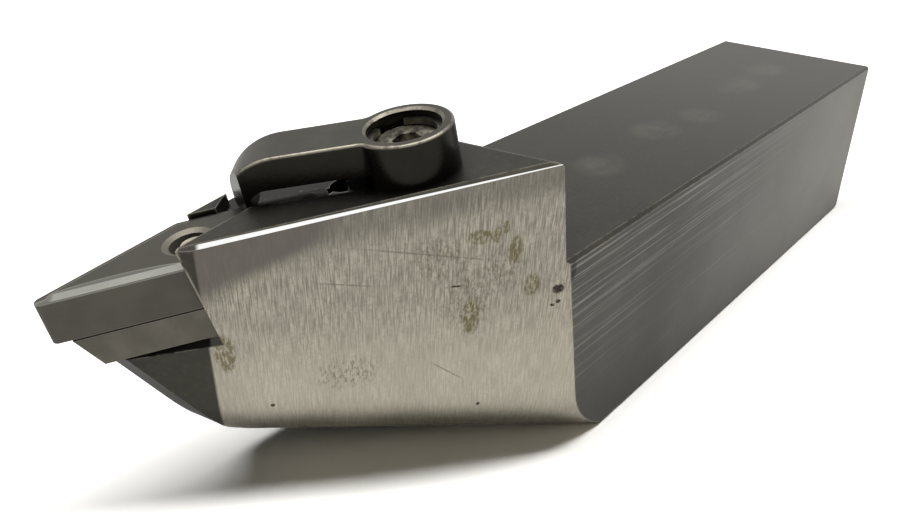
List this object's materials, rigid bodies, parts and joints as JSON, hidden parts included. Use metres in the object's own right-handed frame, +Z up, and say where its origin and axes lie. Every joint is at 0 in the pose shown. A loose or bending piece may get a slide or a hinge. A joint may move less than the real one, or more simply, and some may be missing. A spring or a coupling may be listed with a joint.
{
  "type": "turning tool holder",
  "caption": "Left-hand indexable turning tool holder: square shank, raised head with a pocketed 35 degree insert on a shim, lock pin and swivelling bridge clamp.",
  "frame": {"origin": "middle of the shank's bottom face", "axes": "+X along the shank towards the cutting tip, +Y towards the trailing side of the head, +Z up"},
  "size_m": [0.1269, 0.0317, 0.0391],
  "materials": {
    "blackened_steel": "black oxide, worn; trailing face ground bright with light rust stains",
    "shim_carbide": "ground carbide, matte",
    "insert_carbide": "sintered and ground carbide, matte grey",
    "pin_steel": "worn steel with dark sockets",
    "clamp_steel": "black oxide with bright worn edges",
    "ring_steel": "dark spring steel",
    "screw_steel": "worn steel with dirt in the socket"
  },
  "bodies": {
    "holder": {"holder_body": "blackened_steel", "shim": "shim_carbide", "insert": "insert_carbide"},
    "pin": {"lock_pin": "pin_steel"},
    "lift_ring": {"retaining_ring": "ring_steel"},
    "bridge_clamp": {"clamp": "clamp_steel"},
    "screw": {"clamp_screw": "screw_steel"}
  },
  "joints": [
    {"name": "pin_turn", "type": "hinge", "parent": "holder", "child": "pin", "pos_m": [0.0671, -0.01291, 0.02012], "axis": [0.1694, -0.0777, 0.9825], "range_deg": [0, 180]},
    {"name": "clamp_lift", "type": "slide", "parent": "holder", "child": "lift_ring", "axis": [0.1694, -0.0777, 0.9825], "range_m": [0, 0.0024]},
    {"name": "clamp_swivel", "type": "hinge", "parent": "lift_ring", "child": "bridge_clamp", "pos_m": [0.05307, 0.00001, 0.03378], "axis": [0.1694, -0.0777, 0.9825], "range_deg": [-50, 0]},
    {"name": "screw_turn", "type": "hinge", "parent": "lift_ring", "child": "screw", "pos_m": [0.05307, 0.00001, 0.03378], "axis": [0.1694, -0.0777, 0.9825], "range_deg": [0, 1090]}
  ],
  "couplings": [
    {"joint": "screw_turn", "follows": "clamp_lift", "rad_per_m": 7915.8}
  ]
}
